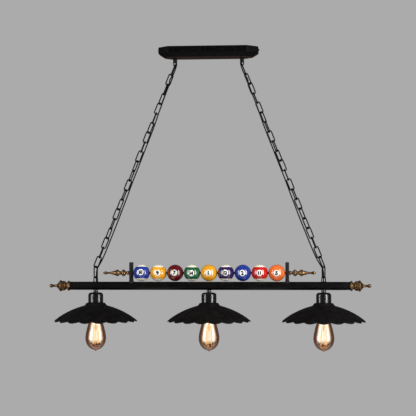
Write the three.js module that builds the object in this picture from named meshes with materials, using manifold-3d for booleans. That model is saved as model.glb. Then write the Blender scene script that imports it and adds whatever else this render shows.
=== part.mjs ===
// Pool table lamp: a ceiling canopy, two chains, and a bar that carries three shaded lamps and a row
// of nine pool balls on a rod. Millimetres, +Z up, +X along the bar, the front towards -Y.
// The origin is the middle of the ceiling bracket's upper face, where the lamp meets the ceiling.

import * as THREE from 'three';
import { mergeVertices } from 'three/addons/utils/BufferGeometryUtils.js';
import loadManifold from 'manifold-3d';

const wasm = await loadManifold();
wasm.setup();

// Driving dimensions

const gap = 0.3; // left between pieces that touch

const canopyLength = 313;
const canopyDepth = 106;
const canopyHeight = 32;
const canopyChamfer = 33;
const sheet = 1.2; // thickness of the canopy and of the socket cups

const strapWidth = 24;
const strapThickness = 2;
const strapHalf = 153.5;
const tabDepth = 16;
const slotX = 45; // the two slots that the ceiling's screws go through
const slotLength = 16;
const slotWidth = 5;
const screwZ = -9;
const screwRadius = 2;
const screwShank = 9.2; // under the head

const loopX = 105.5; // canopy loops
const loopWidth = 13;
const loopBar = 1.75; // radius of the loops' bar
const loopCollarZ = -46;
const loopAxisZ = -56.25; // middle of the bar at the loop's lowest point
const stemRadius = 4;
const wireWayRadius = 2.6;

const wire = 2; // radius of the chain's wire
const linkWidth = 17.5;
const linkPitch = 32.5;
const linkCount = 21; // sloping links on each side, the top link among them
const joined = 0.5; // how deep neighbouring links of one chain run into each other
const openPivotGap = 1.2; // between the right chain and its bottom link

const lampX = 358; // outer lamps, and the loops above them
const tubeZ = -748;
const tubeRadius = 13;
const tubeWall = 1.4;
const tubeHalf = 440;
const barLoopWidth = 15;
const barLoopAxisZ = -719.15;

const cordRadius = 2;
const cordBack = 11.8; // how far behind the bar the cord comes down

const ballRadius = 26;
const ballPitch = 53.1;
const ballCount = 9;
const ballBore = 3.4;
const ballZ = -707.5;
const rodRadius = 3;
const postX = 245;
const postWidth = 11.6;
const postDepth = 16;
const postTopZ = -674;

const nippleRadius = 5;
const nippleBore = 3.2;
const cupRadius = 23.5;
const cupTopZ = -769;
const cupBottomZ = -801;
const holderRadius = 18.5;
const holderTopZ = -772.8;
const holderBottomZ = -830;
const shadeTopZ = cupBottomZ - gap;
const shadeWall = 1.2;
const scallops = 18;
const bulbNeckZ = -828.5;
const bulbTipZ = -954;

// Places that follow from them

const chainTopZ = loopAxisZ + loopBar + gap;
const chainRun = linkPitch * linkCount;
const chainSine = (lampX - loopX) / chainRun;
const chainCosine = Math.sqrt(1 - chainSine ** 2);
const chainSlope = Math.asin(chainSine);
const chainBottomZ = chainTopZ - chainRun * chainCosine;
const sides = { left: -1, right: 1 };

// Materials

const paint = (colour, roughness, metalness) => () =>
  new THREE.MeshStandardMaterial({ color: colour, roughness, metalness });
const blackPaint = paint(0x141414, 0.5, 0.3);
const glossBlack = paint(0x101012, 0.2, 0.3);
const agedBrass = paint(0x8a6a3f, 0.45, 0.8);
const zincSteel = paint(0x9a9c9e, 0.4, 0.9);
const blackCord = paint(0x1a1a1a, 0.7, 0);
const whitePlastic = paint(0xe6e2d6, 0.6, 0);
const blackPlastic = paint(0x181818, 0.5, 0);
const amberGlass = paint(0xc98a3a, 0.1, 0);
const brassShell = paint(0xb08d4a, 0.35, 0.9);
const hotWire = paint(0xffc070, 0.6, 0.2);
const [poolBlue, poolYellow, poolMaroon, poolGreen] = [0x26409c, 0xe79a1b, 0x6d1220, 0x12683a];
const [poolPurple, poolRed, poolOrange] = [0x2f1a5e, 0xb81d18, 0xe35f22];
const ballColours = [
  poolBlue, poolYellow, poolMaroon, poolGreen, poolYellow, poolPurple, poolBlue, poolRed, poolOrange,
];

// Shapes

const lamp = new THREE.Group();

function add(name, geometry, material, position = [0, 0, 0], parent = lamp) {
  const mesh = new THREE.Mesh(geometry, material());
  mesh.name = name;
  mesh.position.set(...position);
  parent.add(mesh);
  return mesh;
}

// Six times the volume that the triangles enclose, which is negative when they face inwards.
function signedVolume(geometry) {
  const { position } = geometry.attributes;
  const at = (i) => new THREE.Vector3().fromBufferAttribute(position, geometry.index.getX(i));
  let sum = 0;
  for (let i = 0; i < geometry.index.count; i += 3) sum += at(i).dot(at(i + 1).cross(at(i + 2)));
  return sum;
}

// The same surface with its seams merged, its empty triangles dropped and its faces pointing out.
function closed(geometry) {
  const bare = geometry.clone();
  for (const name of Object.keys(bare.attributes)) if (name !== 'position') bare.deleteAttribute(name);
  const merged = mergeVertices(bare, 1e-3);
  const corners = merged.index.array;
  const kept = [];
  for (let i = 0; i < corners.length; i += 3) {
    const [a, b, c] = corners.slice(i, i + 3);
    if (a !== b && b !== c && c !== a) kept.push(a, b, c);
  }
  merged.setIndex(kept);
  if (signedVolume(merged) < 0) merged.setIndex(kept.reverse());
  return merged;
}

function toSolid(geometry) {
  const shape = closed(geometry);
  const vertProperties = Float32Array.from(shape.attributes.position.array);
  const triVerts = Uint32Array.from(shape.index.array);
  return new wasm.Manifold(new wasm.Mesh({ numProp: 3, vertProperties, triVerts }));
}

function toGeometry(solid) {
  const { vertProperties, triVerts } = solid.getMesh();
  const geometry = new THREE.BufferGeometry();
  geometry.setAttribute('position', new THREE.Float32BufferAttribute(vertProperties, 3));
  geometry.setIndex([...triVerts]);
  return geometry;
}

const join = (shapes) => toGeometry(shapes.map(toSolid).reduce((sum, solid) => sum.add(solid)));
const cut = (body, tools) =>
  toGeometry(tools.map(toSolid).reduce((rest, tool) => rest.subtract(tool), toSolid(body)));

// Corners around a body, level by level. It is capped at both ends, or runs back to its first level.
function loft(levels, around = false) {
  const count = levels[0].length;
  const index = [];
  const spans = around ? levels.length : levels.length - 1;
  for (let level = 0; level < spans; level++) {
    const next = ((level + 1) % levels.length) * count;
    for (let i = 0; i < count; i++) {
      const j = (i + 1) % count;
      const here = level * count;
      index.push(here + i, here + j, next + i, here + j, next + j, next + i);
    }
  }
  const last = (levels.length - 1) * count;
  for (let i = 1; i < count - 1 && !around; i++) index.push(0, i + 1, i, last, last + i, last + i + 1);
  const geometry = new THREE.BufferGeometry();
  geometry.setAttribute('position', new THREE.Float32BufferAttribute(levels.flat(2), 3));
  geometry.setIndex(index);
  return closed(geometry);
}

// A turned piece: its outline is a list of [radius, height] and its axis is Z.
function turned(outline, segments) {
  const points = outline.map(([radius, height]) => new THREE.Vector2(radius, height));
  return closed(new THREE.LatheGeometry(points, segments).rotateX(Math.PI / 2));
}

// A turned ring: its outline closes on itself, clear of the axis.
const turnedRing = (outline, segments) => turned([...outline, outline[0]], segments);

// A round bar along Z, or turned to another axis, centred on a point.
function bar(radius, length, centre, axis = 'z', segments = 12) {
  const geometry = new THREE.CylinderGeometry(radius, radius, length, segments);
  if (axis === 'z') geometry.rotateX(Math.PI / 2);
  if (axis === 'x') geometry.rotateZ(Math.PI / 2);
  return geometry.translate(...centre);
}

// A round cord or wire along a smooth curve through points.
function cordThrough(points, radius, steps, corners = 8) {
  const section = new THREE.Shape();
  for (let i = 0; i < corners; i++) {
    const angle = (i / corners) * 2 * Math.PI;
    const [x, y] = [radius * Math.cos(angle), radius * Math.sin(angle)];
    if (i) section.lineTo(x, y);
    else section.moveTo(x, y);
  }
  section.closePath();
  const route = new THREE.CatmullRomCurve3(points.map((point) => new THREE.Vector3(...point)));
  return closed(new THREE.ExtrudeGeometry(section, { steps, extrudePath: route }));
}

// Points along an arc in a turned outline, from one angle to another, in degrees from the +radius axis.
function arc(centreRadius, centreHeight, radius, from, to, steps) {
  return Array.from({ length: steps + 1 }, (_, i) => {
    const angle = THREE.MathUtils.degToRad(from + ((to - from) * i) / steps);
    return [centreRadius + radius * Math.cos(angle), centreHeight + radius * Math.sin(angle)];
  });
}

// Canopy: an eight-sided pan, open to the ceiling, on a strap that the ceiling holds

function octagon(inset, z) {
  const x = canopyLength / 2 - inset;
  const y = canopyDepth / 2 - inset;
  const c = canopyChamfer - inset * (2 - Math.SQRT2);
  return [[x, y - c, z], [x - c, y, z], [c - x, y, z], [-x, y - c, z],
    [-x, c - y, z], [c - x, -y, z], [x - c, -y, z], [x, c - y, z]];
}

function canopyShell() {
  const rimZ = -19.5;
  const stepZ = -21;
  const foot = 19.5; // how far the lower face is set in
  const shell = loft([
    octagon(foot + 0.4, sheet - canopyHeight), octagon(3.2, stepZ + 1), octagon(sheet, rimZ + 0.8),
    octagon(sheet, 0), octagon(0, 0), octagon(0, rimZ), octagon(2.5, stepZ), octagon(foot, -canopyHeight),
  ]);
  const holes = Object.values(sides).flatMap((side) => [
    bar(stemRadius + gap, 8, [side * loopX, 0, -canopyHeight]),
    bar(screwRadius + gap, 8, [(side * canopyLength) / 2, 0, screwZ], 'x', 8),
  ]);
  return cut(shell, holes);
}

function mountingBracket() {
  const strap = new THREE.BoxGeometry(2 * strapHalf, strapWidth, strapThickness);
  const pieces = [strap.translate(0, 0, -strapThickness / 2)];
  const tools = [];
  for (const side of Object.values(sides)) {
    const tab = new THREE.BoxGeometry(strapThickness, strapWidth, tabDepth);
    pieces.push(tab.translate(side * (strapHalf - strapThickness / 2), 0, -tabDepth / 2));
    tools.push(bar(screwRadius + gap, 8, [side * strapHalf, 0, screwZ], 'x', 8));
    const slot = new THREE.BoxGeometry(slotLength, slotWidth, 3 * strapThickness);
    tools.push(slot.translate(side * slotX, 0, -strapThickness / 2));
  }
  return cut(join(pieces), tools);
}

function canopyScrew() {
  const head = 2 * screwRadius;
  return turned([
    [0, 0], [screwRadius, 0], [screwRadius, screwShank], [head, screwShank],
    [head, screwShank + 1.2], [2.6, screwShank + 2.4], [0, screwShank + 2.8],
  ], 10);
}

function canopyLoop() {
  const x = loopWidth / 2 - loopBar;
  const bendZ = loopAxisZ + x;
  const bend = [-1, -0.7, 0, 0.7, 1].map((t) => [x * t, 0, bendZ - x * Math.sqrt(1 - t * t)]);
  const route = [[-x, 0, loopCollarZ + 1], ...bend, [x, 0, loopCollarZ + 1]];
  const collarTopZ = -canopyHeight - gap;
  const collar = bar(loopWidth / 2, collarTopZ - loopCollarZ, [0, 0, (loopCollarZ + collarTopZ) / 2]);
  const stem = bar(stemRadius, 12, [0, 0, -canopyHeight + 4]);
  const wireWay = bar(wireWayRadius, 40, [0, 0, -canopyHeight]);
  return cut(join([collar, stem, cordThrough(route, loopBar, 12)]), [wireWay]);
}

function terminalBlock() {
  const block = new THREE.BoxGeometry(34, 14, 12).translate(0, -4, -strapThickness - gap - 6);
  const tools = [-10, 0, 10].map((x) => bar(2.2, 8, [x, -4, -14.3], 'z', 8));
  return cut(block, tools);
}

function canopyWiring() {
  const rise = [-44, -36, -28, -20].map((z) => [-loopX, 0, z]);
  const side = [...rise, [-loopX + 4, 1.5, -14], [-loopX + 16, 5, -11]];
  const middle = [[-50, 8, -11], [0, 8, -11], [50, 8, -11]];
  const mirrored = side.map(([x, y, z]) => [-x, y, z]).reverse();
  return cordThrough([...side, ...middle, ...mirrored], cordRadius, 24, 6);
}

function addCanopy() {
  add('canopy_shell', canopyShell(), blackPaint);
  add('mounting_bracket', mountingBracket(), zincSteel);
  add('terminal_block', terminalBlock(), whitePlastic);
  add('canopy_wiring', canopyWiring(), blackCord);
  for (const [word, side] of Object.entries(sides)) {
    const screwX = side * (canopyLength / 2 + gap - screwShank);
    const screw = add(`canopy_screw_${word}`, canopyScrew(), blackPaint, [screwX, 0, screwZ]);
    screw.rotation.y = (side * Math.PI) / 2;
    add(`canopy_loop_${word}`, canopyLoop(), blackPaint, [side * loopX, 0, 0]);
  }
}

// Chains: each hangs in the XZ plane and slopes outwards, with a quarter turn of twist on its way down

// A link with its long axis on Z. Its inner top is at z = 0 and its opening is as long as told.
function link(opening) {
  const bends = 6;
  const ring = (linkWidth / 2 - wire) / Math.cos(Math.PI / bends);
  const geometry = new THREE.TorusGeometry(ring, wire, 4, bends).rotateZ(Math.PI / bends);
  const half = opening / 2 + wire - ring;
  const points = geometry.attributes.position;
  for (let i = 0; i < points.count; i++) points.setY(i, points.getY(i) + Math.sign(points.getY(i)) * half);
  return closed(geometry.rotateX(Math.PI / 2).translate(0, 0, -opening / 2));
}

// A point near the sloping chain: how far down it, how far to its inner side, and how far behind it.
function nearChain(side, down, inwards, back) {
  const x = loopX + down * chainSine - inwards * chainCosine;
  return [side * x, back, chainTopZ - down * chainCosine - inwards * chainSine];
}

function slopingLink(side, number, opening) {
  const twist = Math.PI / 2 + number * (Math.PI / 2 + Math.PI / 2 / (linkCount - 1));
  const geometry = link(opening).rotateZ(side * twist);
  return geometry.rotateY(-side * chainSlope).translate(...nearChain(side, number * linkPitch, 0, 0));
}

function chain(side) {
  const links = [];
  const endGap = side === sides.right ? openPivotGap : gap;
  for (let number = 1; number < linkCount; number++) {
    const opening = number === linkCount - 1 ? linkPitch + endGap : linkPitch - joined;
    links.push(slopingLink(side, number, opening));
  }
  return join(links);
}

function powerCord(side) {
  const beside = [[8, 7.2, 4], [20, 8.4, 3.6], [34, 10, 2.6], [52, 11.8, 1]];
  for (let down = 100; down < 620; down += 60) beside.push([down, 12, 0]);
  beside.push([634, 12, 0.6], [652, 11.4, 3], [666, 9, 7], [676, 6, 10]);
  const behind = [[lampX - 2, cordBack, -694], [lampX, cordBack, -706], [lampX, cordBack, -719]];
  const route = [
    ...beside.map(([down, inwards, back]) => nearChain(side, down, inwards, back)),
    ...behind.map(([x, y, z]) => [side * x, y, z]),
  ];
  return cordThrough(route, cordRadius, 34);
}

function addChains() {
  for (const [word, side] of Object.entries(sides)) {
    add(`chain_top_link_${word}`, slopingLink(side, 0, linkPitch + gap), blackPaint);
    add(`chain_${word}`, chain(side), blackPaint);
    add(`power_cord_${word}`, powerCord(side), blackCord);
    const bottomOpening = chainBottomZ - (barLoopAxisZ - loopBar - gap);
    const bottomLink = link(bottomOpening).rotateZ(Math.PI / 2);
    add(`chain_bottom_link_${word}`, bottomLink, blackPaint, [side * lampX, 0, chainBottomZ]);
  }
}

// Bar: a round tube with a finial in each end

function mainTube() {
  const inner = tubeRadius - tubeWall;
  const outline = [[inner, -tubeHalf], [tubeRadius, -tubeHalf], [tubeRadius, tubeHalf], [inner, tubeHalf]];
  const tube = turnedRing(outline, 20).rotateY(Math.PI / 2).translate(0, 0, tubeZ);
  const prong = barLoopWidth / 2 - loopBar;
  const holes = [-lampX, 0, lampX].map((x) => bar(nippleRadius + 2 * gap, 12, [x, 0, tubeZ - tubeRadius]));
  for (const side of Object.values(sides)) {
    for (const x of [-prong, prong]) {
      holes.push(bar(loopBar + gap, 12, [side * lampX + x, 0, tubeZ + tubeRadius], 'z', 8));
    }
    const cordHole = bar(cordRadius + 1, 12, [0, 0, 0], 'z', 8).rotateX(-Math.PI / 4);
    holes.push(cordHole.translate(side * lampX, 9.2, tubeZ + 9.2));
  }
  return cut(tube, holes);
}

function barLoop() {
  const x = barLoopWidth / 2 - loopBar;
  const bendZ = barLoopAxisZ - x;
  const footZ = tubeZ + tubeRadius - 5;
  const bend = [-1, -0.7, 0, 0.7, 1].map((t) => [x * t, 0, bendZ + x * Math.sqrt(1 - t * t)]);
  const route = [[-x, 0, footZ], [-x, 0, bendZ - 5], ...bend, [x, 0, bendZ - 5], [x, 0, footZ]];
  return cordThrough(route, loopBar, 14);
}

// The outline runs from the stub inside the tube out to the tip.
function endFinial() {
  const stub = tubeRadius - tubeWall - gap;
  return turned([
    [0, -12], [stub, -12], [stub, gap], [14.6, gap], [15.5, 4], [14, 7.6], [10, 9.5], [10, 12], [13.4, 14],
    [15.4, 20], [15.4, 27], [18, 29], [18, 31], [13.5, 34], [8, 38.5], [4, 42], [3.6, 52],
    ...arc(0, 59.5, 6, -40, 90, 3),
  ], 12);
}

function addBar() {
  add('main_tube', mainTube(), blackPaint);
  for (const [word, side] of Object.entries(sides)) {
    const finial = add(`end_finial_${word}`, endFinial(), agedBrass, [side * tubeHalf, 0, tubeZ]);
    finial.rotation.y = (side * Math.PI) / 2;
    add(`bar_loop_${word}`, barLoop(), blackPaint, [side * lampX, 0, 0]);
  }
}

// Wires inside the tube: one run along it, a drop into each lamp, and a rise to each cord
function wireHarness() {
  const wireRadius = 1.8;
  const runZ = tubeZ + 2;
  const pieces = [bar(wireRadius, 2 * lampX, [0, 0, runZ], 'x', 6)];
  for (const x of [-lampX, 0, lampX]) pieces.push(bar(wireRadius, 30, [x, 0, runZ - 15], 'z', 6));
  for (const side of Object.values(sides)) {
    const x = side * lampX;
    const rise = [
      [x, 0, runZ], [x, 5, tubeZ + 5], [x, 9.4, tubeZ + 9.6], [x, 11.4, tubeZ + 14], [x, cordBack, tubeZ + 20],
    ];
    pieces.push(cordThrough(rise, wireRadius, 8, 6));
  }
  return join(pieces);
}

// Rack: two posts, a rod between them, nine balls on the rod and a finial on each of its ends

function rackPost() {
  const height = postTopZ - tubeZ;
  const level = (outset, z) => {
    const [x, y] = [postWidth / 2 + outset, postDepth / 2 + outset];
    return [[x, y, z], [-x, y, z], [-x, -y, z], [x, -y, z]];
  };
  const post = loft([
    level(1, 0), level(1, tubeRadius + 3), level(0, tubeRadius + 5), level(0, height - 1), level(-1, height),
  ]);
  const saddle = bar(tubeRadius + gap, 60, [0, 0, 0], 'x', 20);
  const rodHole = bar(rodRadius + gap, 60, [0, 0, ballZ - tubeZ], 'x');
  return cut(post, [saddle, rodHole]);
}

// The outline runs from the blind hole for the rod, around the foot and out to the tip.
function rackFinial() {
  return turned([
    [0, 8], [rodRadius + gap, 8], [rodRadius + gap, gap], [6, gap], [6, 5], [4.6, 8], [4.6, 12], [8, 13.6],
    [11, 17], [11, 20], [8, 23.4], [5.4, 25], [5.4, 30], [8, 34], [10.6, 38], [10.6, 40], [8, 43],
    [5, 54], [2.6, 68], [5, 75], [3.6, 79], [0, 84],
  ], 10);
}

function ball() {
  const edge = THREE.MathUtils.radToDeg(Math.asin(ballBore / ballRadius));
  return turnedRing(arc(0, 0, ballRadius, edge - 90, 90 - edge, 6), 12).rotateY(Math.PI / 2);
}

function addRack() {
  const rodHalf = postX + postWidth / 2 + 7;
  add('ball_rod', bar(rodRadius, 2 * rodHalf, [0, 0, 0], 'x'), blackPaint, [0, 0, ballZ]);
  for (const [word, side] of Object.entries(sides)) {
    add(`rack_post_${word}`, rackPost(), blackPaint, [side * postX, 0, tubeZ]);
    const footX = side * (postX + postWidth / 2);
    const finial = add(`rack_finial_${word}`, rackFinial(), agedBrass, [footX, 0, ballZ]);
    finial.rotation.y = (side * Math.PI) / 2;
  }
  for (let i = 0; i < ballCount; i++) {
    const x = (i - (ballCount - 1) / 2) * ballPitch;
    add(`ball_${i + 1}`, ball(), paint(ballColours[i], 0.1, 0), [x, 0, ballZ]);
  }
}

// Lamps: a nipple through the tube, a cup over the lampholder, a scalloped shade and a bulb

function lampNipple() {
  const topZ = tubeZ - 6;
  const collarTopZ = tubeZ - tubeRadius - gap;
  const endZ = holderTopZ - 4.2;
  return turnedRing([
    [nippleBore, topZ], [nippleRadius, topZ], [nippleRadius, collarTopZ], [7.5, collarTopZ],
    [7.5, cupTopZ + gap], [nippleRadius, cupTopZ + gap], [nippleRadius, endZ], [nippleBore, endZ],
  ], 12);
}

function socketCup() {
  const round = 9;
  const inner = cupRadius - sheet;
  const hole = nippleRadius + gap;
  const shoulder = (radius, from, to) => arc(cupRadius - round, cupTopZ - round, radius, from, to, 2);
  return turnedRing([
    [hole, cupTopZ], ...shoulder(round, 90, 0), [cupRadius, cupBottomZ],
    [inner, cupBottomZ], ...shoulder(round - sheet, 0, 90), [hole, cupTopZ - sheet],
  ], 16);
}

function lampholder() {
  const hole = nippleRadius + gap;
  const pocketZ = holderTopZ - 6;
  const socketZ = -806;
  const socket = 13.7;
  return turned([
    [0, pocketZ], [hole, pocketZ], [hole, holderTopZ], [holderRadius, holderTopZ],
    [holderRadius, holderBottomZ], [socket, holderBottomZ], [socket, socketZ], [0, socketZ],
  ], 16);
}

function shadeRing() {
  const topZ = shadeTopZ - shadeWall - gap;
  return turnedRing([[18.9, topZ], [25, topZ], [25, topZ - 5], [18.9, topZ - 5]], 16);
}

// A dome that starts under a flared collar, steepens to its rim and swells into a petal between each
// pair of creases. Each petal ends in an arc.
function shade() {
  const domeTop = [43, -10.6];
  const arcRadius = 238;
  const [startSlope, rimSlope, petalReach] = [17, 38.6, 2.3].map(THREE.MathUtils.degToRad);
  const swell = 2.5;
  const outline = (angle) => {
    const petal = Math.abs(Math.sin((scallops * angle) / 2));
    const points = [[19.2, 0, 0, 1], [28.5, 0, 0.5, 0.9], [32, -3.6, 0.95, 0.3], [34.5, -7.5, 0.7, 0.7]];
    for (const share of [0.5, 1]) {
      const slope = startSlope + share * (rimSlope + petal * petalReach - startSlope);
      const out = [Math.sin(slope), Math.cos(slope)];
      const lift = swell * petal * share;
      points.push([
        domeTop[0] + arcRadius * (out[0] - Math.sin(startSlope)) + lift * out[0],
        domeTop[1] - arcRadius * (Math.cos(startSlope) - out[1]) + lift * out[1], ...out,
      ]);
    }
    const inside = points.map(([r, z, outR, outZ]) => [r - shadeWall * outR, z - shadeWall * outZ]);
    return [...points.map(([r, z]) => [r, z]), ...inside.reverse()];
  };
  const around = Array.from({ length: 2 * scallops }, (_, i) => (i * Math.PI) / scallops);
  const outlines = around.map(outline);
  const levels = outlines[0].map((_, level) => around.map((angle, i) => {
    const [r, z] = outlines[i][level];
    return [r * Math.cos(angle), r * Math.sin(angle), z];
  }));
  return loft(levels, true);
}

function bulbCap() {
  return turned([
    [0, -807], [5, -807], [6, -809.5], [13.2, -812], [13.2, -833.5], [12.3, -833.5], [12.3, -828], [0, -828],
  ], 14);
}

// The envelope's outer outline runs up from the tip, and its inner outline back down.
function bulbGlass() {
  const wall = 1;
  const outer = [[0, bulbTipZ], [3, -950.6], [17, -944.5], [28, -931], [32.4, -913], [25.5, -876],
    [14, -840], [11.8, -834.5], [11.8, bulbNeckZ]];
  const inner = outer.slice(2).reverse().map(([r, z]) => [r - wall, z]);
  return turned([...outer, ...inner, [0, -946.5]], 12);
}

function bulbFilament() {
  const stem = turned([[0, -890], [2, -888], [3, -860], [9, -832], [9, -829], [0, -829]], 6);
  const hairpins = [0, 1].map((i) => {
    const hairpin = [
      [0, 0, -886], [8, 0, -895], [7, 0, -925], [0, 0, -930], [-7, 0, -925], [-8, 0, -895], [0, 0, -886],
    ];
    return cordThrough(hairpin, 0.7, 8, 4).rotateZ((i * Math.PI) / 2);
  });
  return join([stem, ...hairpins]);
}

function addLamps() {
  for (const [word, x] of [['left', -lampX], ['middle', 0], ['right', lampX]]) {
    const unit = new THREE.Group();
    unit.position.x = x;
    lamp.add(unit);
    add(`lamp_nipple_${word}`, lampNipple(), blackPaint, [0, 0, 0], unit);
    add(`socket_cup_${word}`, socketCup(), glossBlack, [0, 0, 0], unit);
    add(`lampholder_${word}`, lampholder(), blackPlastic, [0, 0, 0], unit);
    add(`shade_ring_${word}`, shadeRing(), blackPlastic, [0, 0, 0], unit);
    add(`shade_${word}`, shade(), blackPaint, [0, 0, shadeTopZ], unit);
    add(`bulb_glass_${word}`, bulbGlass(), amberGlass, [0, 0, 0], unit);
    add(`bulb_cap_${word}`, bulbCap(), brassShell, [0, 0, 0], unit);
    add(`bulb_filament_${word}`, bulbFilament(), hotWire, [0, 0, 0], unit);
  }
}

addCanopy();
addChains();
addBar();
add('wire_harness', wireHarness(), blackCord);
addRack();
addLamps();

export default lamp;
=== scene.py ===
"""Pool table lamp: canopy, two chains with their cords, a bar with a rack of pool balls, and three lamps.

Shapes are made in millimetres in the lamp's own frame (origin at the ceiling, +X along the bar, front
towards -Y) and turned into metres when a piece is made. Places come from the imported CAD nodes.
"""

import math

import bmesh
import bpy
from mathutils import Matrix, Vector


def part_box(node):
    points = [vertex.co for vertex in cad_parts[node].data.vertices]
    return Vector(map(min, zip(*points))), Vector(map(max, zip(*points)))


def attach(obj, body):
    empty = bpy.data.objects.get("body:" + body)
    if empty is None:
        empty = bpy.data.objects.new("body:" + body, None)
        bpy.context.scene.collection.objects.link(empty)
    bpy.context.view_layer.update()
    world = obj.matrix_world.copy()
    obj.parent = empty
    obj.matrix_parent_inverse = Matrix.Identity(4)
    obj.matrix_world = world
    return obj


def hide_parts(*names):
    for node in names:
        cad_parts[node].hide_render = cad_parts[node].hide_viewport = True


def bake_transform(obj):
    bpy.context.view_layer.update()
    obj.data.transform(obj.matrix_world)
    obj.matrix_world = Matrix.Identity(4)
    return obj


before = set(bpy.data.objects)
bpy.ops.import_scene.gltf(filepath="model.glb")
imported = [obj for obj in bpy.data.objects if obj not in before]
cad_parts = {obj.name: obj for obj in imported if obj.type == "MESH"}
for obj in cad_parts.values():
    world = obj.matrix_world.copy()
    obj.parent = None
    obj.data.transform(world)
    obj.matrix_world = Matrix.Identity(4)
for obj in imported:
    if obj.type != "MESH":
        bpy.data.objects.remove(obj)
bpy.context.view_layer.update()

MM = 0.001
SIDES = {"left": -1, "right": 1}
BACKGROUND = 0.407  # linear grey behind the lamp
SURROUND = 0.075  # linear grey that lights it


# Places, read from the CAD nodes, in millimetres


def box_mm(node):
    low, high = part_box(node)
    return low / MM, high / MM


def centre_mm(node):
    low, high = box_mm(node)
    return (low + high) / 2


CANOPY_LOW, CANOPY_HIGH = box_mm("canopy_shell")
TUBE_LOW, TUBE_HIGH = box_mm("main_tube")
TUBE_Z = centre_mm("main_tube").z
TUBE_R = (TUBE_HIGH.z - TUBE_LOW.z) / 2
TUBE_HALF = TUBE_HIGH.x
LOOP_X = centre_mm("canopy_loop_right").x
LAMP_X = centre_mm("bar_loop_right").x
ROD_Z = centre_mm("ball_rod").z
ROD_R = 3
BALL_R = (box_mm("ball_1")[1].z - box_mm("ball_1")[0].z) / 2
POST_X = centre_mm("rack_post_right").x
POST_HALF = 5.8  # half of a rack post's width
POST_DEPTH = 16
CUP_TOP = box_mm("socket_cup_middle")[1].z
CUP_BOTTOM = box_mm("socket_cup_middle")[0].z
SHADE_TOP = box_mm("shade_middle")[1].z

# Chain: links of round wire, hung on each other

WIRE = 2  # radius of a link's wire
LINK_WIDTH = 17.5
PITCH = 32.5
LINKS = 21  # sloping links on each side
CHAIN_TOP = -54.2  # where the top link bears on the canopy's loop
CHAIN_SINE = (LAMP_X - LOOP_X) / (PITCH * LINKS)
CHAIN_COSINE = math.sqrt(1 - CHAIN_SINE**2)
CHAIN_BOTTOM = CHAIN_TOP - PITCH * LINKS * CHAIN_COSINE
BAR_LOOP_TOP = -719.15  # middle of the bar at the top of the loops on the tube
LOOP_BAR_R = 1.75  # round bar of the loops on the canopy and the tube
CORD_R = 2
CORD_BACK = 11.8  # how far behind the bar the cord comes down

# How far each link is turned about the chain, in degrees: 0 shows its opening to the front, and a
# positive turn takes its inner side to the back.
TWISTS = {
    "left": [90, 0, 88, -38, 18, 92, -35, 20, 92, 5, -48, 72, 2, -60, 48, -8, 78, -42, 24, 88, 4],
    "right": [90, -42, 12, 88, 18, -55, 70, 8, -68, 40, -14, 88, 10, -68, 14, -48, 38, -14, 80, 6, -58],
}
BOTTOM_TWIST = 52
PIVOT_GAP = 1.2  # play where the right chain meets its bottom link


# Shapes: each is (points, faces), in millimetres


def revolve(outline, segments=64, warp=None, ring=False):
    """Turns an outline of (radius, height) about Z. A ring's outline closes on itself."""
    points, rows = [], []
    for radius, height in outline:
        if radius < 1e-6:
            rows.append([len(points)] * segments)
            points.append((0, 0, height))
            continue
        rows.append(range(len(points), len(points) + segments))
        for step in range(segments):
            angle = 2 * math.pi * step / segments
            r = warp(radius, height, angle) if warp else radius
            points.append((r * math.cos(angle), r * math.sin(angle), height))
    return points, bands(rows, around=ring)


def bands(rows, around=False):
    """Faces between rows of point numbers, each row running round the body."""
    faces = []
    pairs = list(zip(rows, rows[1:]))
    if around:
        pairs.append((rows[-1], rows[0]))
    for low, high in pairs:
        count = len(low)
        for i in range(count):
            j = (i + 1) % count
            corners = [low[i], low[j], high[j], high[i]]
            faces.append(list(dict.fromkeys(corners)))
    return [face for face in faces if len(face) > 2]


def loft(levels, around=False):
    """A body through levels of points, closed by a flat face at each end or back to its first level."""
    count = len(levels[0])
    points = [point for level in levels for point in level]
    rows = [range(i * count, (i + 1) * count) for i in range(len(levels))]
    faces = bands(rows, around)
    if not around:
        faces += [list(rows[0])[::-1], list(rows[-1])]
    return points, faces


def through(points, steps):
    """Points on a smooth curve through the given ones: a centripetal Catmull-Rom curve."""
    path = [Vector(point) for point in points]
    path = [2 * path[0] - path[1], *path, 2 * path[-1] - path[-2]]
    curve = []
    for a, b, c, d in zip(path, path[1:], path[2:], path[3:]):
        t1 = math.sqrt((b - a).length)
        t2 = t1 + math.sqrt((c - b).length)
        t3 = t2 + math.sqrt((d - c).length)
        for i in range(steps):
            t = t1 + (t2 - t1) * i / steps
            ab = a.lerp(b, t / t1)
            bc = b.lerp(c, (t - t1) / (t2 - t1))
            cd = c.lerp(d, (t - t2) / (t3 - t2))
            abc = ab.lerp(bc, t / t2)
            bcd = bc.lerp(cd, (t - t1) / (t3 - t1))
            curve.append(abc.lerp(bcd, (t - t1) / (t2 - t1)))
    return [*curve, path[-2]]


def arc(radius, centre, start, end, steps):
    """Points on an arc about a flat centre, between angles in degrees."""
    angles = [math.radians(start + (end - start) * step / steps) for step in range(steps + 1)]
    return [(centre[0] + radius * math.cos(a), centre[1] + radius * math.sin(a)) for a in angles]


def turned_curve(outline, steps=4):
    """An outline of (radius, height) smoothed into a curve that never crosses the axis."""
    return [(max(radius, 0), height) for radius, height in through(outline, steps)]


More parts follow.
